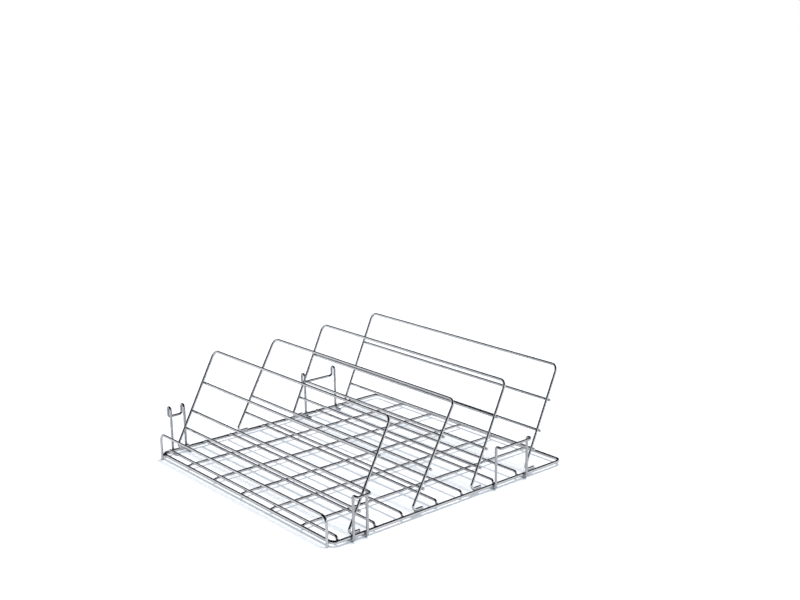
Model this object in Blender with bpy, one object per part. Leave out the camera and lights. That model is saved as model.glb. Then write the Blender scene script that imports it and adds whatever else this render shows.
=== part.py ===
"""Instrument cassette rack: a tray of welded round wire with leaning divider frames.

A flat ring of the thickest wire carries a grid. Four leaning divider frames stand on the ring's
sides, each with three rungs behind it, and a low rail closes the front. Four bent wire brackets hang
the rack by its sides, and their turned-in ends are the feet that it stands on.

X runs along the front rail, Y from the front to the back, and Z up from the surface it stands on.
The origin is under the middle of the rack. Lengths are in metres.
"""

import math

import bpy
import numpy as np
from mathutils import Vector

# Wire diameters, measured across the flats of the facets
RING_WIRE = 0.005
GRID_WIRE = 0.004
FRAME_WIRE = 0.004
RUNG_WIRE = 0.004
RAIL_WIRE = 0.004
BRACKET_WIRE = 0.004

# The gap left between two wires that are welded to each other
WELD_GAP = 0.0003

# Ring, measured between the middles of its wires
RING_WIDTH = 0.440
RING_LENGTH = 0.438
RING_CORNER_RADIUS = 0.010

# Grid: the long wires run front to back inside the ring, and the cross wires lie on them.
# The ends of a long wire slope down to the ring, and those of a cross wire turn down beside it.
LONG_WIRE_COUNT = 5
LONG_WIRE_RISE = 0.0008
LONG_END_RUN = 0.0015
LONG_SLOPE_RUN = 0.005
GRID_BEND_RADIUS = 0.004
CROSS_END_DROP = 0.001

# Divider frames. The setbacks run from the ring's front and back wires to the corners of the feet.
FRONT_FRAME_SETBACK = 0.0248
BACK_FRAME_SETBACK = 0.0781
FRAME_LEANS_DEG = (28.3, 30.0, 25.8, 24.8)
FRAME_LEG_LENGTH = 0.1638
FRAME_SIDE_INSET = 0.0025
FRAME_TOP_RADIUS = 0.010
FRAME_FOOT_RADIUS = 0.005
FRAME_FOOT_LENGTH = 0.021

# Rungs, by their distance along the leg from the corner of the foot
RUNG_DISTANCES = (("low", 0.0340), ("middle", 0.0627), ("high", 0.1106))
RUNG_OVERHANG = 0.0035

# Each frame has a cross wire this far in front of it, and all but the last have one behind
CROSS_AHEAD = 0.015
CROSS_BEHIND = 0.0486

# Front rail: its height is taken from the middle of the ring's wire
RAIL_HEIGHT = 0.0359
RAIL_SIDE_INSET = 0.0075
RAIL_TOP_RADIUS = 0.010

# Brackets: heights from the middle of the ring's wire. The left pair ends in a hook that opens
# downwards, and the right pair in a flat bar that only rests.
FOOT_REACH = 0.010
HOOK_REACH = 0.0086
LEFT_HOOK_HEIGHT = 0.0690
LEFT_BAR_HEIGHT = 0.0525
RIGHT_HOOK_HEIGHT = 0.0620
RIGHT_BAR_HEIGHT = 0.0600
RIGHT_BEND_RADIUS = 0.0038
BAR_CORNER_RADIUS = 0.004

# Name, distance of the first leg from the ring's front wire, and distance between the legs
LEFT_BRACKETS = (("front", 0.0215, 0.0240), ("back", 0.2820, 0.0640))
RIGHT_BRACKETS = (("front", 0.0300, 0.0232), ("back", 0.2930, 0.0640))

# Facets round the wires of the grid and the rungs, and round all the others
GRID_SIDES = 8
MAIN_SIDES = 12

# Steps along a quarter turn of a bend
QUARTER_STEPS = 5

# Points nearer than this are one point, and a bend smaller than this is straight
SAME_POINT = 1e-6
SMALLEST_BEND = 1e-9

# The section of a wire is never stretched more than this at the plane that halves a bend
MOST_STRETCH = 2.0

# Edges sharper than this stay sharp: the rims of a wire's cut ends
SHARP_EDGE = math.radians(60)

ring_radius = RING_WIRE / 2
grid_radius = GRID_WIRE / 2
frame_radius = FRAME_WIRE / 2
rung_radius = RUNG_WIRE / 2
rail_radius = RAIL_WIRE / 2
bracket_radius = BRACKET_WIRE / 2

# From the middle of the ring's wire to the middle of a wire that is welded to it
grid_offset = ring_radius + WELD_GAP + grid_radius
frame_offset = ring_radius + WELD_GAP + frame_radius
rail_offset = ring_radius + WELD_GAP + rail_radius
bracket_offset = ring_radius + WELD_GAP + bracket_radius

# The brackets' feet pass under the ring and lie on the ground, which sets the ring's height
ring_height = bracket_offset + bracket_radius
cross_rise = LONG_WIRE_RISE + GRID_WIRE + WELD_GAP
frame_rise = math.sqrt(frame_offset**2 - FRAME_SIDE_INSET**2)
frame_half_width = RING_WIDTH / 2 - FRAME_SIDE_INSET

# The rail is the foremost surface and the ring the rearmost
ring_front_y = (rail_offset + rail_radius - RING_LENGTH - ring_radius) / 2


def material(name, colour, roughness):
    """Bare steel wire of one colour and polish."""
    made = bpy.data.materials.new(name)
    made.use_nodes = True
    shader = made.node_tree.nodes["Principled BSDF"]
    shader.inputs["Base Color"].default_value = (*colour, 1.0)
    shader.inputs["Metallic"].default_value = 1.0
    shader.inputs["Roughness"].default_value = roughness
    made.diffuse_color = (*colour, 1.0)
    return made


def rounded(corners, radii):
    """The path through the corners, with the bend at each inner corner made an arc of its radius."""
    path = [Vector(corners[0])]
    for before, corner, after, radius in zip(corners, corners[1:], corners[2:], radii):
        corner = Vector(corner)
        back = (Vector(before) - corner).normalized()
        onward = (Vector(after) - corner).normalized()
        turn = math.pi - back.angle(onward)
        tangent = radius * math.tan(turn / 2)
        middle = corner + (back + onward).normalized() * (radius / math.cos(turn / 2))
        across = (corner + back * tangent) - middle
        along = -back * radius
        steps = max(2, math.ceil(QUARTER_STEPS * turn / (math.pi / 2)))
        for step in range(steps + 1):
            angle = turn * step / steps
            path.append(middle + across * math.cos(angle) + along * math.sin(angle))
    path.append(Vector(corners[-1]))
    # Where one bend starts as the last one ends, they share a point
    later = [point for last, point in zip(path, path[1:]) if (point - last).length > SAME_POINT]
    return path[:1] + later


def tube(path, diameter, sides, closed=False):
    """Vertices and faces of a round wire along the path, turned so that flats face up and sideways."""
    points = np.array([tuple(point) for point in path])
    if closed:
        steps = np.roll(points, -1, axis=0) - points
        steps /= np.linalg.norm(steps, axis=1)[:, None]
        tangents = steps + np.roll(steps, 1, axis=0)
    else:
        steps = np.diff(points, axis=0)
        steps /= np.linalg.norm(steps, axis=1)[:, None]
        tangents = np.vstack([steps[:1], steps[1:] + steps[:-1], steps[-1:]])
    tangents /= np.linalg.norm(tangents, axis=1)[:, None]

    # The normal is carried along the path and kept square to it, so the section doesn't twist
    upright = abs(tangents[0][2]) > abs(tangents[0][:2]).max()
    normal = np.array([1.0, 0.0, 0.0] if upright else [0.0, 0.0, 1.0])
    corner_radius = diameter / 2 / math.cos(math.pi / sides)
    angles = (np.arange(sides) + 0.5) * 2 * math.pi / sides
    verts = []
    for index, (point, tangent) in enumerate(zip(points, tangents)):
        normal = normal - tangent * normal.dot(tangent)
        normal /= np.linalg.norm(normal)
        side = np.cross(tangent, normal)
        # A ring of vertices lies in the plane that halves a bend, where the section is stretched
        turned = steps[index] if index < len(steps) else tangent
        stretch = min(MOST_STRETCH, 1 / float(tangent.dot(turned)))
        into_bend = turned - tangent * turned.dot(tangent)
        size = np.linalg.norm(into_bend)
        into_bend = into_bend / size if size > SMALLEST_BEND else normal
        ring = np.outer(np.cos(angles), normal) + np.outer(np.sin(angles), side)
        ring += np.outer(ring @ into_bend, into_bend) * (stretch - 1)
        verts.extend(point + ring * corner_radius)

    count = len(points)
    faces = []
    for index in range(count if closed else count - 1):
        start = index * sides
        end = (index + 1) % count * sides
        for k in range(sides):
            after = (k + 1) % sides
            faces.append((start + k, start + after, end + after, end + k))
    if not closed:
        faces.append(tuple(reversed(range(sides))))
        faces.append(tuple(range((count - 1) * sides, count * sides)))
    return verts, faces


def wire_mesh(name, path, diameter, sides, steel, closed=False):
    """A mesh of one bent wire, smooth round the wire and sharp at its cut ends."""
    verts, faces = tube(path, diameter, sides, closed)
    mesh = bpy.data.meshes.new(name)
    mesh.from_pydata([tuple(vert) for vert in verts], [], faces)
    mesh.materials.append(steel)
    mesh.shade_smooth()
    mesh.set_sharp_from_angle(angle=SHARP_EDGE)
    return mesh


def place(name, mesh, rack, x=0.0, y=0.0, z=0.0, tilt=0.0):
    """An object on the rack. Y is measured from the ring's front wire, and Z from the ring's middle."""
    placed = bpy.data.objects.new(name, mesh)
    placed.location = (x, ring_front_y + y, ring_height + z)
    placed.rotation_euler = (tilt, 0.0, 0.0)
    placed.parent = rack
    bpy.context.scene.collection.objects.link(placed)
    return placed


def add_ring(rack):
    steel = material("ring_steel", (0.60, 0.62, 0.64), 0.22)
    half = RING_WIDTH / 2
    right = [(half, 0.0, 0.0), (half, RING_LENGTH, 0.0)]
    left = [(-half, RING_LENGTH, 0.0), (-half, 0.0, 0.0)]
    middle = [(0.0, 0.0, 0.0)]
    path = rounded(middle + right + left + middle, [RING_CORNER_RADIUS] * len(right + left))[:-1]
    ring = wire_mesh("base_ring", path, RING_WIRE, MAIN_SIDES, steel, closed=True)
    place("base_ring", ring, rack)


def add_long_wires(rack):
    steel = material("long_wire_steel", (0.58, 0.60, 0.62), 0.25)
    front = ring_radius + WELD_GAP
    slope_start = front + LONG_END_RUN
    half = [(front, 0.0), (slope_start, 0.0), (slope_start + LONG_SLOPE_RUN, LONG_WIRE_RISE)]
    profile = half + [(RING_LENGTH - y, z) for y, z in reversed(half)]
    path = rounded([(0.0, y, z) for y, z in profile], [GRID_BEND_RADIUS] * (len(profile) - 2))
    mesh = wire_mesh("long_wire", path, GRID_WIRE, GRID_SIDES, steel)
    bay = RING_WIDTH / (LONG_WIRE_COUNT + 1)
    for number in range(1, LONG_WIRE_COUNT + 1):
        place(f"long_wire_{number}", mesh, rack, x=bay * number - RING_WIDTH / 2)


def frame_fronts():
    """Where the frames' foot corners are, from the ring's front wire."""
    last = RING_LENGTH - BACK_FRAME_SETBACK
    return np.linspace(FRONT_FRAME_SETBACK, last, len(FRAME_LEANS_DEG))


def add_cross_wires(rack):
    steel = material("cross_wire_steel", (0.58, 0.60, 0.62), 0.25)
    end = RING_WIDTH / 2 - grid_offset
    profile = [(-end, -CROSS_END_DROP), (-end, cross_rise), (end, cross_rise), (end, -CROSS_END_DROP)]
    path = rounded([(x, 0.0, z) for x, z in profile], [GRID_BEND_RADIUS] * 2)
    mesh = wire_mesh("cross_wire", path, GRID_WIRE, GRID_SIDES, steel)
    fronts = frame_fronts()
    places = sorted([y - CROSS_AHEAD for y in fronts] + [y + CROSS_BEHIND for y in fronts[:-1]])
    for number, y in enumerate(places, start=1):
        place(f"cross_wire_{number}", mesh, rack, y=y)


def add_divider_frames(rack):
    """Four leaning frames, each one bent wire, with three rungs welded behind its legs."""
    steel = material("frame_steel", (0.60, 0.62, 0.64), 0.20)
    rung_steel = material("rung_steel", (0.58, 0.60, 0.62), 0.24)
    rung_end = frame_half_width + RUNG_OVERHANG
    rung_path = [(-rung_end, 0.0, 0.0), (rung_end, 0.0, 0.0)]
    rung = wire_mesh("rung", rung_path, RUNG_WIRE, GRID_SIDES, rung_steel)
    behind = frame_radius + WELD_GAP + rung_radius
    for number, (front, lean) in enumerate(zip(frame_fronts(), FRAME_LEANS_DEG), start=1):
        sine = math.sin(math.radians(lean))
        cosine = math.cos(math.radians(lean))
        top_y = FRAME_LEG_LENGTH * sine
        top_z = frame_rise + FRAME_LEG_LENGTH * cosine
        left = [
            (-frame_half_width, FRAME_FOOT_LENGTH, frame_rise),
            (-frame_half_width, 0.0, frame_rise),
            (-frame_half_width, top_y, top_z),
        ]
        right = [(-x, y, z) for x, y, z in reversed(left)]
        radii = [FRAME_FOOT_RADIUS, FRAME_TOP_RADIUS, FRAME_TOP_RADIUS, FRAME_FOOT_RADIUS]
        name = f"divider_frame_{number}"
        path = rounded(left + right, radii)
        place(name, wire_mesh(name, path, FRAME_WIRE, MAIN_SIDES, steel), rack, y=front)
        for level, distance in RUNG_DISTANCES:
            y = front + distance * sine + behind * cosine
            z = frame_rise + distance * cosine - behind * sine
            place(f"{name}_{level}_rung", rung, rack, y=y, z=z, tilt=-math.radians(lean))


def add_front_rail(rack):
    steel = material("rail_steel", (0.60, 0.62, 0.64), 0.20)
    end = RING_WIDTH / 2 - RAIL_SIDE_INSET
    corners = [(-end, -ring_height), (-end, RAIL_HEIGHT), (end, RAIL_HEIGHT), (end, -ring_height)]
    path = rounded([(x, 0.0, z) for x, z in corners], [RAIL_TOP_RADIUS] * 2)
    rail = wire_mesh("front_rail", path, RAIL_WIRE, MAIN_SIDES, steel)
    place("front_rail", rail, rack, y=-rail_offset)


def add_bracket(rack, name, steel, side, front, spacing, profile):
    """One bent wire: up from a foot, over the hook, along the bar and back down the same way.

    The profile is a list of (outward distance, height, bend radius) from the foot's tip to the bar.
    """
    near = [(side * x, 0.0, z) for x, z, _ in profile]
    far = [(x, spacing, z) for x, _, z in reversed(near)]
    bends = [radius for _, _, radius in profile[1:]]
    path = rounded(near + far, bends + bends[::-1])
    mesh = wire_mesh(name, path, BRACKET_WIRE, MAIN_SIDES, steel)
    place(name, mesh, rack, x=side * RING_WIDTH / 2, y=front)


def add_brackets(rack):
    steel = material("bracket_steel", (0.62, 0.64, 0.66), 0.20)
    outer = bracket_offset + HOOK_REACH
    # The leg's bend has its centre in the ring's wire, so it wraps round the wire
    leg = [(-FOOT_REACH, -bracket_offset, 0.0), (bracket_offset, -bracket_offset, bracket_offset)]
    hook = [
        (bracket_offset, LEFT_HOOK_HEIGHT, HOOK_REACH / 2),
        (outer, LEFT_HOOK_HEIGHT, HOOK_REACH / 2),
        (outer, LEFT_BAR_HEIGHT, BAR_CORNER_RADIUS),
    ]
    rest = [
        (bracket_offset, RIGHT_HOOK_HEIGHT, RIGHT_BEND_RADIUS),
        (outer, RIGHT_BAR_HEIGHT, BAR_CORNER_RADIUS),
    ]
    for name, front, spacing in LEFT_BRACKETS:
        add_bracket(rack, f"hook_bracket_{name}_left", steel, -1, front, spacing, leg + hook)
    for name, front, spacing in RIGHT_BRACKETS:
        add_bracket(rack, f"rest_bracket_{name}_right", steel, 1, front, spacing, leg + rest)


def main():
    for old in list(bpy.data.objects):
        bpy.data.objects.remove(old, do_unlink=True)
    rack = bpy.data.objects.new("instrument_cassette_rack", None)
    bpy.context.scene.collection.objects.link(rack)
    add_ring(rack)
    add_long_wires(rack)
    add_cross_wires(rack)
    add_divider_frames(rack)
    add_front_rail(rack)
    add_brackets(rack)


main()
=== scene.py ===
import math

import bpy
import numpy as np
from mathutils import Matrix, Vector


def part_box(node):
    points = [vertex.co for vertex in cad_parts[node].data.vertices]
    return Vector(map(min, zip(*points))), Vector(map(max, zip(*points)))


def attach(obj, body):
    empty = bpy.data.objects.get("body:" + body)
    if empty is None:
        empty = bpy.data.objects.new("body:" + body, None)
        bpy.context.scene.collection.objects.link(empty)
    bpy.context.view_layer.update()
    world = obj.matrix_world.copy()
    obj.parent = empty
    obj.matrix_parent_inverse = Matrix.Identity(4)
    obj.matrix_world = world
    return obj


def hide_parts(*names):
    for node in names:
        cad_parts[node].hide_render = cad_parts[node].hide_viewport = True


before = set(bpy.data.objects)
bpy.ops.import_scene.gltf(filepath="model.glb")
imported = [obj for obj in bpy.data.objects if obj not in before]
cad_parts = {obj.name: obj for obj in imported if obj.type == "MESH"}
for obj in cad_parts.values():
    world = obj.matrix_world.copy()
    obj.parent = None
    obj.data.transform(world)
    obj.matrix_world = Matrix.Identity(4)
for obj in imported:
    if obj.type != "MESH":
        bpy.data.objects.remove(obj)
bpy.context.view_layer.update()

print("frame loaded:", len(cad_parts), "wires")

# What all the wires share. Lengths are in metres.
wire = {
    "thickSides": 32,           # points round the ring, frames, rail and brackets
    "thinSides": 26,            # points round the grid wires and rungs
    "bendStep": 6.0,            # degrees of a bend from one section to the next
    "fewestSteps": 3,           # in a slight bend
    "straightStep": 0.012,      # longest stretch between two sections of a straight
    "endRounding": 0.22,        # rounded rim of a cut end, as a share of the wire's radius
    "endPoints": 4,             # sections round that rim
    "bendFlattening": 0.05,     # how much a tight bend flattens the wire
    "tightBend": 0.004,         # bend radius that flattens it fully
    "endDisc": 0.55,            # share of the radius where the fan in the middle of a cut end starts
    "unlike": (0.37, 0.53, 0.76),       # a direction that no wire follows
}


def unit(vectors):
    # Each vector divided by its own length
    return vectors / np.linalg.norm(vectors, axis=-1, keepdims=True)


def bentLine(corners, radii):
    # Straights between the corners, and at each inner corner an arc that touches both straights:
    # centre + radius * (cos(a) * across + sin(a) * along), for a from 0 to the turn of the bend.
    # Gives the points and the curvature at each.
    corners = np.array(corners, float)
    runs = [corners[:1]]
    bends = [np.zeros(1)]
    for before, corner, after, radius in zip(corners, corners[1:], corners[2:], radii):
        back, onward = unit(before - corner), unit(after - corner)
        turn = math.pi - math.acos(np.clip(back @ onward, -1.0, 1.0))
        middle = corner + unit(back + onward) * radius / math.cos(turn / 2)
        across = corner + back * radius * math.tan(turn / 2) - middle
        steps = max(wire["fewestSteps"], math.ceil(math.degrees(turn) / wire["bendStep"]))
        angle = np.linspace(0.0, turn, steps + 1)[:, None]
        runs.append(middle + across * np.cos(angle) - back * radius * np.sin(angle))
        bends.append(np.full(steps + 1, 1.0 / radius))
    runs.append(corners[-1:])
    bends.append(np.zeros(1))
    points, curvature = np.concatenate(runs), np.concatenate(bends)
    apart = np.append(True, np.linalg.norm(np.diff(points, axis=0), axis=1) > 1e-6)
    return filledLine(points[apart], curvature[apart])


def filledLine(points, curvature):
    # The line with long straights divided evenly, by interpolation along its length
    lengths = np.linalg.norm(np.diff(points, axis=0), axis=1)
    parts = np.maximum(1, np.ceil(lengths / wire["straightStep"])).astype(int)
    before = np.repeat(np.arange(len(lengths)), parts)
    share = (np.arange(parts.sum()) - np.repeat(np.cumsum(parts) - parts, parts)) / np.repeat(parts, parts)
    index = np.append(before + share, len(points) - 1)
    known = np.arange(len(points))
    line = np.stack([np.interp(index, known, points[:, k]) for k in range(3)], axis=1)
    whole = np.append(share == 0.0, True)
    return line, np.where(whole, np.interp(index, known, curvature), 0.0)


def carriedCircle(line, curvature, radius, sides, closed):
    # A circle carried along the line: point + r * (cos(a) * side + sin(a) * up), where side and up are
    # square to the line. A bend presses the circle to an oval that is wider across the bend.
    if closed:
        tangent = unit(np.roll(line, -1, axis=0) - np.roll(line, 1, axis=0))
    else:
        steps = unit(np.diff(line, axis=0))
        tangent = unit(np.vstack([steps[:1], steps[1:] + steps[:-1], steps[-1:]]))
    side = unit(np.cross(tangent, unit(np.array(wire["unlike"]))))
    up = np.cross(side, tangent)
    inward = np.gradient(tangent, axis=0)
    inward -= tangent * (inward * tangent).sum(1, keepdims=True)
    inward /= np.maximum(np.linalg.norm(inward, axis=1, keepdims=True), 1e-9)
    angle = np.linspace(0.0, 2 * math.pi, sides, endpoint=False)
    circle = np.cos(angle)[None, :, None] * side[:, None] + np.sin(angle)[None, :, None] * up[:, None]
    pressed = wire["bendFlattening"] * np.clip(curvature * wire["tightBend"], 0.0, 1.0)
    depth = (circle * inward[:, None]).sum(2, keepdims=True)
    oval = circle - inward[:, None] * depth * pressed[:, None, None]
    return line[:, None] + oval * radius, tangent


def cutEnds(sections, line, tangent, radius):
    # Each end closes with a quarter round of the rim, r = R - e + e * cos(a) at e * sin(a) outwards,
    # and then a flat disc. The end stays where it was, because the rim starts e further in.
    rim = radius * wire["endRounding"]
    angle = np.linspace(0.0, math.pi / 2, wire["endPoints"])
    scale = np.append((radius - rim + rim * np.cos(angle)) / radius, wire["endDisc"])
    out = np.append(rim * np.sin(angle) - rim, 0.0)
    start, end = sections[0] - line[0], sections[-1] - line[-1]
    first = line[0] + start[None] * scale[::-1, None, None] - tangent[0] * out[::-1, None, None]
    last = line[-1] + end[None] * scale[:, None, None] + tangent[-1] * out[:, None, None]
    return np.concatenate([first, sections[1:-1], last])


def sectionMesh(name, sections, closedAlong, poles):
    # Quads between neighbouring sections, each closed round, and a fan to a pole at each end
    rows, sides = sections.shape[:2]
    count = rows if closedAlong else rows - 1
    a = np.arange(count)[:, None] * sides + np.arange(sides)[None]
    b = np.arange(count)[:, None] * sides + np.roll(np.arange(sides), -1)[None]
    c, d = (b + sides) % (rows * sides), (a + sides) % (rows * sides)
    quads = np.stack([a, d, c, b], axis=-1).reshape(-1, 4)
    points, middles = sections.reshape(-1, 3), sections.mean(1)
    along = np.append(0.0, np.cumsum(np.linalg.norm(np.diff(middles, axis=0), axis=1)))
    u, v = np.arange(sides) / sides, np.repeat(along[:count], sides).reshape(count, sides)
    far = np.append(along, along[-1] + np.linalg.norm(middles[0] - middles[-1]))[1:count + 1]
    far = np.repeat(far, sides).reshape(count, sides)
    u0 = np.broadcast_to(u, (count, sides))
    quadUv = np.stack([u0, v, u0, far, u0 + 1 / sides, far, u0 + 1 / sides, v], axis=-1).reshape(-1, 2)
    corners, starts, uv = [quads.ravel()], [np.arange(len(quads)) * 4], [quadUv]
    if not closedAlong:
        points = np.vstack([points, poles])
        ring = np.arange(sides)
        after = np.roll(ring, -1)
        front = np.stack([np.full(sides, rows * sides), ring, after], axis=-1)
        last = (rows - 1) * sides
        back = np.stack([np.full(sides, rows * sides + 1), last + after, last + ring], axis=-1)
        fans = np.concatenate([front, back])
        corners.append(fans.ravel())
        starts.append(len(quads) * 4 + np.arange(len(fans)) * 3)
        ends = np.repeat([0.0, along[-1]], sides * 3)
        uv.append(np.stack([np.tile([0.5, 0.0, 0.0], 2 * sides), ends], axis=-1))
    return filledMesh(name, points, np.concatenate(corners), np.concatenate(starts), np.concatenate(uv))


def filledMesh(name, points, corners, starts, uv):
    # Writes whole arrays into a new mesh: points, face corners, face starts and the UV of each corner
    mesh = bpy.data.meshes.new(name)
    mesh.vertices.add(len(points))
    mesh.vertices.foreach_set("co", points.astype(np.float32).ravel())
    mesh.loops.add(len(corners))
    mesh.loops.foreach_set("vertex_index", corners.astype(np.int32))
    mesh.polygons.add(len(starts))
    mesh.polygons.foreach_set("loop_start", starts.astype(np.int32))
    mesh.update(calc_edges=True)
    layer = mesh.uv_layers.new(name="alongWire")
    layer.data.foreach_set("uv", uv.astype(np.float32).ravel())
    mesh.validate()
    mesh.shade_smooth()
    return mesh


def addPiece(name, mesh, steel, nodes=()):
    piece = bpy.data.objects.new(name, mesh)
    bpy.context.scene.collection.objects.link(piece)
    mesh.materials.append(steel)
    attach(piece, "root")
    if nodes:
        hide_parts(*nodes)
    return piece


def addWire(name, node, corners, radii, diameter, steel, sides, closed=False):
    line, curvature = bentLine(corners, radii)
    if closed:
        line, curvature = line[:-1], curvature[:-1]
    sections, tangent = carriedCircle(line, curvature, diameter / 2, sides, closed)
    if not closed:
        sections = cutEnds(sections, line, tangent, diameter / 2)
    mesh = sectionMesh(name, sections, closed, line[[0, -1]])
    return addPiece(name, mesh, steel, [node])


def edges(node):
    low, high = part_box(node)
    return np.array(low), np.array(high)


# Steel. Roughness is from the best to the least polished spots, and streak is the depth of the drawn lines.

steelLook = {
    "ring": {"colour": (0.62, 0.64, 0.675), "roughness": (0.05, 0.11), "streak": 0.30},
    "grid": {"colour": (0.62, 0.64, 0.675), "roughness": (0.05, 0.11), "streak": 0.35},
    "frame": {"colour": (0.64, 0.66, 0.695), "roughness": (0.05, 0.10), "streak": 0.25},
    # painted shade: the brackets are the same steel as the rest, with the colour set darker so that their
    # legs come out darker
    "bracket": {"colour": (0.50, 0.52, 0.555), "roughness": (0.06, 0.12), "streak": 0.25},
    "weld": {"colour": (0.42, 0.43, 0.45), "roughness": (0.24, 0.42), "streak": 0.0},
}


steelGrain = {
    "lineScale": (34.0, 26.0, 1.0),         # drawn lines: UV runs round from 0 to 1 and along in metres
    "lineDetail": 3.0,
    "lineShare": 0.75,          # drawn lines against grain in the relief
    "cloudScale": 55.0,         # clouds of better and lesser polish
    "cloudDetail": 4.0,
    "cloudRange": (0.35, 0.65),
    "cloudTint": (0.93, 1.05),
    "grainScale": 900.0,
    "relief": 0.00006,
    "plainRelief": 0.5,         # for steel without drawn lines
}


def noise(tree, vector, scale, detail=2.0):
    node = tree.nodes.new("ShaderNodeTexNoise")
    node.inputs["Scale"].default_value = scale
    node.inputs["Detail"].default_value = detail
    tree.links.new(vector, node.inputs["Vector"])
    return node.outputs["Fac"]


def drawnSteel(name, colour, roughness, streak):
    # Polished drawn wire: fine lines along the wire, cloudy changes of polish, and a faint grain
    made = bpy.data.materials.new(name + "Steel")
    made.use_nodes = True
    tree = made.node_tree
    shader = tree.nodes["Principled BSDF"]
    shader.inputs["Metallic"].default_value = 1.0
    coords = tree.nodes.new("ShaderNodeTexCoord")
    stretch = tree.nodes.new("ShaderNodeMapping")
    stretch.inputs["Scale"].default_value = steelGrain["lineScale"]
    tree.links.new(coords.outputs["UV"], stretch.inputs["Vector"])
    lines = noise(tree, stretch.outputs["Vector"], 1.0, steelGrain["lineDetail"])
    cloud = noise(tree, coords.outputs["Object"], steelGrain["cloudScale"], steelGrain["cloudDetail"])
    grain = noise(tree, coords.outputs["Object"], steelGrain["grainScale"])

    polish = tree.nodes.new("ShaderNodeMapRange")
    for socket, number in zip(polish.inputs[1:5], (*steelGrain["cloudRange"], *roughness)):
        socket.default_value = number
    tree.links.new(cloud, polish.inputs["Value"])
    tree.links.new(polish.outputs["Result"], shader.inputs["Roughness"])

    tint = tree.nodes.new("ShaderNodeMix")
    tint.data_type = "RGBA"
    for socket, share in zip(tint.inputs[6:8], steelGrain["cloudTint"]):
        socket.default_value = (*[min(1.0, share * c) for c in colour], 1.0)
    tree.links.new(cloud, tint.inputs[0])
    tree.links.new(tint.outputs[2], shader.inputs["Base Color"])

    height = tree.nodes.new("ShaderNodeMix")
    height.inputs[0].default_value = steelGrain["lineShare"] if streak else 0.0
    tree.links.new(grain, height.inputs[2])
    tree.links.new(lines, height.inputs[3])
    bump = tree.nodes.new("ShaderNodeBump")
    bump.inputs["Strength"].default_value = streak or steelGrain["plainRelief"]
    bump.inputs["Distance"].default_value = steelGrain["relief"]
    tree.links.new(height.outputs[0], bump.inputs["Height"])
    tree.links.new(bump.outputs["Normal"], shader.inputs["Normal"])
    return made


steels = {name: drawnSteel(name, **look) for name, look in steelLook.items()}

# Ring

ring = {"diameter": 0.005, "cornerRadius": 0.010}


def addRing():
    low, high = edges("base_ring")
    r = ring["diameter"] / 2
    x0, y0, x1, y1, z = low[0] + r, low[1] + r, high[0] - r, high[1] - r, (low[2] + high[2]) / 2
    middle = (0.0, y0, z)
    corners = [middle, (x1, y0, z), (x1, y1, z), (x0, y1, z), (x0, y0, z), middle]
    addWire("ringWire", "base_ring", corners, [ring["cornerRadius"]] * 4, ring["diameter"],
            steels["ring"], wire["thickSides"], closed=True)
    return x1, y0, z


ringX, ringFront, ringZ = addRing()
print("ring made")

# Grid

grid = {
    "diameter": 0.004,
    "longCount": 5,
    "crossCount": 7,
    "endRun": 0.0015,           # level end of a long wire before it slopes up
    "slopeRun": 0.005,
    "bendRadius": 0.004,
}


def addLongWires():
    r = grid["diameter"] / 2
    for number in range(1, grid["longCount"] + 1):
        low, high = edges(f"long_wire_{number}")
        x, top = (low[0] + high[0]) / 2, high[2] - r
        near = [(low[1], ringZ), (low[1] + grid["endRun"], ringZ),
                (low[1] + grid["endRun"] + grid["slopeRun"], top)]
        far = [(high[1] + low[1] - y, z) for y, z in reversed(near)]
        addWire(f"longWire{number}", f"long_wire_{number}", [(x, y, z) for y, z in near + far],
                [grid["bendRadius"]] * 4, grid["diameter"], steels["grid"],
                wire["thinSides"])
        yield x, low[1], high[1], top


def addCrossWires():
    r = grid["diameter"] / 2
    for number in range(1, grid["crossCount"] + 1):
        low, high = edges(f"cross_wire_{number}")
        y, top = (low[1] + high[1]) / 2, high[2] - r
        x0, x1 = low[0] + r, high[0] - r
        corners = [(x0, y, low[2]), (x0, y, top), (x1, y, top), (x1, y, low[2])]
        addWire(f"crossWire{number}", f"cross_wire_{number}", corners, [grid["bendRadius"]] * 2,
                grid["diameter"], steels["grid"], wire["thinSides"])
        yield y, x1, top


longWires = list(addLongWires())
crossWires = list(addCrossWires())
print("grid made:", len(longWires), "long and", len(crossWires), "cross wires")

# Divider frames

divider = {
    "diameter": 0.004,
    "rungDiameter": 0.004,
    "leans": (28.3, 30.0, 25.8, 24.8),      # degrees from upright
    "legLength": 0.1638,
    "footLength": 0.021,
    "topRadius": 0.010,
    "footRadius": 0.005,
}


def addDividerFrame(number, lean):
    node = f"divider_frame_{number}"
    low, high = edges(node)
    r = divider["diameter"] / 2
    x0, x1 = low[0] + r, high[0] - r
    topY, topZ = high[1] - r, high[2] - r
    footY = topY - divider["legLength"] * math.sin(math.radians(lean))
    footZ = low[2] + r
    left = [(x0, footY + divider["footLength"], footZ), (x0, footY, footZ), (x0, topY, topZ)]
    right = [(x1, y, z) for _, y, z in reversed(left)]
    radii = [divider["footRadius"], divider["topRadius"], divider["topRadius"], divider["footRadius"]]
    addWire(f"dividerFrame{number}", node, left + right, radii, divider["diameter"],
            steels["frame"], wire["thickSides"])
    rungs = []
    for level in ("low", "middle", "high"):
        rungLow, rungHigh = edges(f"{node}_{level}_rung")
        y, z = (rungLow[1] + rungHigh[1]) / 2, (rungLow[2] + rungHigh[2]) / 2
        addWire(f"dividerFrame{number}Rung{level.capitalize()}", f"{node}_{level}_rung",
                [(rungLow[0], y, z), (rungHigh[0], y, z)], [], divider["rungDiameter"],
                steels["frame"], wire["thinSides"])
        rungs.append((y, z))
    return {"x": x1, "footY": footY, "footZ": footZ, "lean": math.radians(lean), "rungs": rungs}


frames = [addDividerFrame(number, lean) for number, lean in enumerate(divider["leans"], start=1)]
print("divider frames made:", len(frames))

# Front rail

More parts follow.
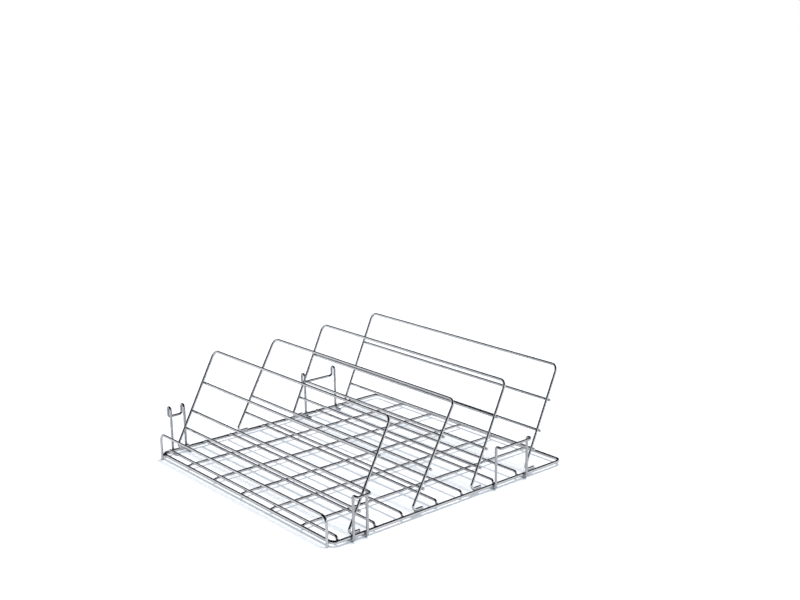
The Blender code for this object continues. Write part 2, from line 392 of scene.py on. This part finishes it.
rail = {"diameter": 0.004, "topRadius": 0.010}


def addRail():
    low, high = edges("front_rail")
    r = rail["diameter"] / 2
    x0, x1, y, top = low[0] + r, high[0] - r, (low[1] + high[1]) / 2, high[2] - r
    corners = [(x0, y, low[2]), (x0, y, top), (x1, y, top), (x1, y, low[2])]
    addWire("frontRail", "front_rail", corners, [rail["topRadius"]] * 2, rail["diameter"],
            steels["frame"], wire["thickSides"])
    return x1, y


railX, railY = addRail()
print("front rail made")

# Brackets

bracket = {
    "diameter": 0.004,
    "footBend": 0.0048,         # wraps round the ring's wire
    "hookReach": 0.0086,
    "hookBend": 0.0043,
    "leftDrop": 0.0165,         # from the top of the hook down to its bar
    "rightDrop": 0.0020,
    "rightBend": 0.0038,
    "barBend": 0.004,
}


def addBracket(name, node, side, hooked):
    low, high = edges(node)
    r = bracket["diameter"] / 2
    bar, foot = (low[0] + r, high[0]) if side < 0 else (high[0] - r, low[0])
    leg, top, ground = bar - side * bracket["hookReach"], high[2] - r, low[2] + r
    corners = [(foot, ground), (leg, ground), (leg, top)]
    if hooked:
        corners += [(bar, top), (bar, top - bracket["leftDrop"])]
        radii = [bracket["footBend"], bracket["hookBend"], bracket["hookBend"], bracket["barBend"]]
    else:
        corners += [(bar, top - bracket["rightDrop"])]
        radii = [bracket["footBend"], bracket["rightBend"], bracket["barBend"]]
    y0, y1 = low[1] + r, high[1] - r
    points = [(x, y0, z) for x, z in corners] + [(x, y1, z) for x, z in reversed(corners)]
    addWire(name, node, points, radii + radii[::-1], bracket["diameter"], steels["bracket"],
            wire["thickSides"])
    return side, leg, y0, y1


brackets = [
    addBracket("hookBracketFront", "hook_bracket_front_left", -1, True),
    addBracket("hookBracketBack", "hook_bracket_back_left", -1, True),
    addBracket("restBracketFront", "rest_bracket_front_right", 1, False),
    addBracket("restBracketBack", "rest_bracket_back_right", 1, False),
]
print("brackets made:", len(brackets))

# Welds

weld = {
    "round": 16,
    "down": 9,
    "swell": 0.10,              # how uneven the rim of a bead is
    "swellTurn": (311.0, 173.0, 97.0),  # radians per metre: turns the swell from bead to bead by its place
    "uvPerMetre": 10.0,
    "crossing": (0.00125, 0.00125, 0.00095),
    "gridEnd": (0.0014, 0.0012, 0.0013),
    "rung": (0.0013, 0.0015, 0.0012),
    "foot": (0.0013, 0.0080, 0.0011),
    "footShift": (0.0006, 0.013, 0.0002),       # outwards from the foot's line, back from its bend, and up
    "rungSink": 0.98,           # share of the radius by which a rung's bead sits behind the leg's middle
    "bracketSide": (0.0010, 0.0016, 0.0022),
    "bracketRise": 0.001,       # above the middle of the ring's wire
    "post": (0.0016, 0.0011, 0.0020),
}


def addBeads(name, places, sizes):
    # Each bead is a lump on its centre: centre + size * (cos(v)cos(u), cos(v)sin(u), sin(v)), with its rim
    # swollen by swell * sin(3u + phase) * cos(v). All beads of a piece are worked out together.
    places, sizes = np.array(places, float), np.array(sizes, float)
    u = np.linspace(0.0, 2 * math.pi, weld["round"], endpoint=False)
    v = np.linspace(-math.pi / 2, math.pi / 2, weld["down"] + 2)[1:-1]
    phase = (places @ np.array(weld["swellTurn"]))[:, None, None]
    rim = 1 + weld["swell"] * np.sin(3 * u[None, None] + phase) * np.cos(v)[None, :, None]
    shape = np.stack([np.cos(v)[:, None] * np.cos(u), np.cos(v)[:, None] * np.sin(u),
                      np.sin(v)[:, None] * np.ones_like(u)], axis=-1)
    beads = places[:, None, None] + sizes[:, None, None] * shape[None] * rim[..., None]
    count, rows, sides = beads.shape[:3]
    tips = places[:, None] + sizes[:, None] * np.array([[0, 0, -1.0], [0, 0, 1.0]])
    points = np.concatenate([beads.reshape(count, -1, 3), tips], axis=1)
    each = points.shape[1]
    k, j = np.arange(sides), np.arange(rows - 1)[:, None] * sides
    after = np.roll(k, -1)
    quads = np.stack([j + k, j + after, j + sides + after, j + sides + k], axis=-1).reshape(-1, 4)
    bottom = np.stack([np.full(sides, each - 2), after, k], axis=-1)
    top = np.stack([np.full(sides, each - 1), (rows - 1) * sides + k, (rows - 1) * sides + after], axis=-1)
    fans = np.concatenate([bottom, top])
    shift = np.arange(count)[:, None, None] * each
    corners = np.concatenate([(quads[None] + shift).ravel(), (fans[None] + shift).ravel()])
    quadStarts = np.arange(count * len(quads)) * 4
    fanStarts = count * len(quads) * 4 + np.arange(count * len(fans)) * 3
    points = points.reshape(-1, 3)
    uv = points[corners][:, :2] * weld["uvPerMetre"]
    mesh = filledMesh(name, points, corners, np.concatenate([quadStarts, fanStarts]), uv)
    return addPiece(name, mesh, steels["weld"])


def addGridWelds():
    half = grid["diameter"] / 2
    crossings = [(x, y, (longTop + crossTop) / 2)
                 for x, _, _, longTop in longWires for y, _, crossTop in crossWires]
    addBeads("gridWelds", crossings, [weld["crossing"]] * len(crossings))
    ringEdge = ring["diameter"] / 2
    ends = [(x, y, ringZ) for x, y0, y1, _ in longWires for y in (y0, y1)]
    ends += [(s * (ringX - ringEdge), y, ringZ + half / 2) for y, _, _ in crossWires for s in (-1, 1)]
    addBeads("ringWelds", ends, [weld["gridEnd"]] * len(ends))


def addFrameWelds(number, made):
    back = divider["diameter"] / 2 * weld["rungSink"]
    behind, above = back * math.cos(made["lean"]), back * math.sin(made["lean"])
    out, along, up = weld["footShift"]
    places, sizes = [], []
    for s in (-1, 1):
        places.append((s * (made["x"] + out), made["footY"] + along, (made["footZ"] + ringZ) / 2 + up))
        sizes.append(weld["foot"])
        for y, z in made["rungs"]:
            places.append((s * made["x"], y - behind, z + above))
            sizes.append(weld["rung"])
    addBeads(f"dividerFrame{number}Welds", places, sizes)


def addOtherWelds():
    places = [(s * railX, (railY + ringFront) / 2, ringZ) for s in (-1, 1)]
    addBeads("railWelds", places, [weld["post"]] * 2)
    z = ringZ + weld["bracketRise"]
    places = [((leg + side * ringX) / 2, y, z) for side, leg, y0, y1 in brackets for y in (y0, y1)]
    addBeads("bracketWelds", places, [weld["bracketSide"]] * len(places))


addGridWelds()
for number, made in enumerate(frames, start=1):
    addFrameWelds(number, made)
addOtherWelds()
print("welds made")

# Studio

studio = {
    "floorSize": 40.0,
    "floorDrop": 0.0002,
    "floorColour": (0.86, 0.86, 0.86),
    "floorRoughness": 0.9,
    "floorLift": (0.30, 0.34, 0.39),    # only the camera sees it: the floor is white save in the shade
    "fill": 0.24,               # even light from all round
    "sunStrength": 2.45,
    "sunAngle": 15.0,           # degrees across: a wider lamp casts softer shadows
    "sunTilt": (-7.0, 8.0),     # degrees from straight above
    "sunHeight": 2.0,
    "domeRadius": 3.2,
    "domeRound": 48,
    "domeUp": 24,
    "domeRange": (0.5, 89.5),   # degrees up, from its lowest ring to its highest
    "domeDepth": 0.5,           # the dome closes this far under the floor
    "wallTop": (27.0, 37.0),    # degrees up, from where the white walls fade to the dark ceiling
    "ceiling": 0.004,
    "flags": ((-75.0, 41.0), (64.0, 165.0)),    # dark flags, by their edges in degrees left of the front
    "flagFade": 3.0,            # degrees
}


def rayFactor(tree):
    # 1 for rays from the camera, from gloss and through glass, and 0 for the light on things
    path = tree.nodes.new("ShaderNodeLightPath")
    both = tree.nodes.new("ShaderNodeMath")
    both.operation = "MAXIMUM"
    tree.links.new(path.outputs["Is Camera Ray"], both.inputs[0])
    tree.links.new(path.outputs["Is Glossy Ray"], both.inputs[1])
    every = tree.nodes.new("ShaderNodeMath")
    every.operation = "MAXIMUM"
    tree.links.new(both.outputs[0], every.inputs[0])
    tree.links.new(path.outputs["Is Transmission Ray"], every.inputs[1])
    return every.outputs[0]


def addWorld():
    world = bpy.data.worlds.new("whiteStudio")
    bpy.context.scene.world = world
    world.use_nodes = True
    tree = world.node_tree
    light = tree.nodes["Background"]
    light.inputs["Color"].default_value = (1.0, 1.0, 1.0, 1.0)
    light.inputs["Strength"].default_value = studio["fill"]
    seen = tree.nodes.new("ShaderNodeBackground")
    seen.inputs["Color"].default_value = (1.0, 1.0, 1.0, 1.0)
    seen.inputs["Strength"].default_value = 1.0
    mix = tree.nodes.new("ShaderNodeMixShader")
    tree.links.new(rayFactor(tree), mix.inputs[0])
    tree.links.new(light.outputs[0], mix.inputs[1])
    tree.links.new(seen.outputs[0], mix.inputs[2])
    tree.links.new(mix.outputs[0], tree.nodes["World Output"].inputs["Surface"])


def addFloor():
    half = studio["floorSize"] / 2
    mesh = bpy.data.meshes.new("floor")
    z = -studio["floorDrop"]
    corners = [(-half, -half, z), (half, -half, z), (half, half, z), (-half, half, z)]
    mesh.from_pydata(corners, [], [(0, 1, 2, 3)])
    floor = bpy.data.objects.new("floor", mesh)
    bpy.context.scene.collection.objects.link(floor)
    made = bpy.data.materials.new("whiteFloor")
    made.use_nodes = True
    tree = made.node_tree
    shader = tree.nodes["Principled BSDF"]
    shader.inputs["Base Color"].default_value = (*studio["floorColour"], 1.0)
    shader.inputs["Roughness"].default_value = studio["floorRoughness"]
    shader.inputs["Specular IOR Level"].default_value = 0.0
    lift = tree.nodes.new("ShaderNodeEmission")
    lift.inputs["Color"].default_value = (*studio["floorLift"], 1.0)
    path = tree.nodes.new("ShaderNodeLightPath")
    tree.links.new(path.outputs["Is Camera Ray"], lift.inputs["Strength"])
    both = tree.nodes.new("ShaderNodeAddShader")
    tree.links.new(shader.outputs[0], both.inputs[0])
    tree.links.new(lift.outputs[0], both.inputs[1])
    tree.links.new(both.outputs[0], tree.nodes["Material Output"].inputs["Surface"])
    mesh.materials.append(made)


def mapped(tree, value, lowIn, highIn, lowOut, highOut):
    # Smooth step of the value from one range to the other
    node = tree.nodes.new("ShaderNodeMapRange")
    node.interpolation_type = "SMOOTHSTEP"
    for socket, number in zip(node.inputs[1:5], (lowIn, highIn, lowOut, highOut)):
        socket.default_value = number
    tree.links.new(value, node.inputs[0])
    return node.outputs[0]


def calculated(tree, operation, *values):
    # A Math node with this operation, fed by sockets and plain numbers in their order
    node = tree.nodes.new("ShaderNodeMath")
    node.operation = operation
    for socket, value in zip(node.inputs, values):
        if isinstance(value, float):
            socket.default_value = value
        else:
            tree.links.new(value, socket)
    return node.outputs[0]


def addDome():
    # What the wires mirror: radius * (cos(e)cos(a), cos(e)sin(a), sin(e)). White walls under a dark ceiling,
    # with dark flags in them. Only gloss sees it, and it is never brighter than the white round it.
    a = np.linspace(0.0, 2 * math.pi, studio["domeRound"], endpoint=False)
    e = np.radians(np.linspace(*studio["domeRange"], studio["domeUp"]))[:, None]
    shape = np.stack([np.cos(e) * np.cos(a), np.cos(e) * np.sin(a), np.sin(e) * np.ones_like(a)], axis=-1)
    poles = np.array([[0.0, 0.0, -studio["domeDepth"]], [0.0, 0.0, studio["domeRadius"]]])
    mesh = sectionMesh("mirroredDome", shape[:, ::-1] * studio["domeRadius"], False, poles)
    dome = bpy.data.objects.new("mirroredDome", mesh)
    bpy.context.scene.collection.objects.link(dome)
    made = bpy.data.materials.new("mirroredDome")
    made.use_nodes = True
    tree = made.node_tree
    coords = tree.nodes.new("ShaderNodeTexCoord")
    toward = tree.nodes.new("ShaderNodeVectorMath")
    toward.operation = "NORMALIZE"
    tree.links.new(coords.outputs["Object"], toward.inputs[0])
    split = tree.nodes.new("ShaderNodeSeparateXYZ")
    tree.links.new(toward.outputs[0], split.inputs[0])
    low, high = [math.sin(math.radians(t)) for t in studio["wallTop"]]
    wall = mapped(tree, split.outputs["Z"], low, high, 1.0, 0.0)
    turned = tree.nodes.new("ShaderNodeVectorMath")
    turned.operation = "SCALE"
    turned.inputs["Scale"].default_value = -1.0
    tree.links.new(toward.outputs[0], turned.inputs[0])
    sides = tree.nodes.new("ShaderNodeSeparateXYZ")
    tree.links.new(turned.outputs[0], sides.inputs[0])
    around = calculated(tree, "ARCTAN2", sides.outputs["X"], sides.outputs["Y"])
    fade = math.radians(studio["flagFade"])
    for flag in studio["flags"]:
        start, end = [math.radians(t) for t in flag]
        before = mapped(tree, around, start - fade, start + fade, 1.0, 0.0)
        after = mapped(tree, around, end - fade, end + fade, 0.0, 1.0)
        wall = calculated(tree, "MULTIPLY", wall, calculated(tree, "MAXIMUM", before, after))
    grey = calculated(tree, "MAXIMUM", wall, studio["ceiling"])
    glow = tree.nodes.new("ShaderNodeEmission")
    tree.links.new(grey, glow.inputs["Strength"])
    tree.links.new(glow.outputs[0], tree.nodes["Material Output"].inputs["Surface"])
    mesh.materials.append(made)
    dome.visible_camera = False
    dome.visible_diffuse = False
    dome.visible_transmission = False
    dome.visible_shadow = False


def addSun():
    lamp = bpy.data.lights.new("overheadLamp", "SUN")
    lamp.energy = studio["sunStrength"]
    lamp.angle = math.radians(studio["sunAngle"])
    sun = bpy.data.objects.new("overheadLamp", lamp)
    sun.rotation_euler = [math.radians(t) for t in (*studio["sunTilt"], 0.0)]
    sun.location = (0.0, 0.0, studio["sunHeight"])
    sun.visible_glossy = False
    bpy.context.scene.collection.objects.link(sun)


addWorld()
addFloor()
addDome()
addSun()
print("studio made")

# Camera

camera = {
    "place": (1.3784, -1.0841, 0.6827),
    "azimuth": 49.581,          # degrees, 0 looks along +Y
    "elevation": 13.671,        # degrees that it looks down
    "roll": -0.782,
    "lens": 54.117,             # millimetres, as is the sensor
    "sensor": 36.0,
    "clip": (0.05, 100.0),
}


def addCamera():
    az, el, roll = [math.radians(camera[k]) for k in ("azimuth", "elevation", "roll")]
    forward = Vector((-math.sin(az) * math.cos(el), math.cos(az) * math.cos(el), -math.sin(el)))
    right = Vector((math.cos(az), math.sin(az), 0.0))
    up = right.cross(forward)
    rolledRight = right * math.cos(roll) + up * math.sin(roll)
    rolledUp = up * math.cos(roll) - right * math.sin(roll)
    turn = Matrix((rolledRight, rolledUp, -forward)).transposed().to_4x4()
    data = bpy.data.cameras.new("photoCamera")
    data.sensor_width = camera["sensor"]
    data.lens = camera["lens"]
    data.clip_start, data.clip_end = camera["clip"]
    made = bpy.data.objects.new("photoCamera", data)
    made.matrix_world = Matrix.Translation(camera["place"]) @ turn
    bpy.context.scene.collection.objects.link(made)
    bpy.context.scene.camera = made


addCamera()
bpy.context.scene.view_settings.view_transform = "Standard"
print("camera placed")
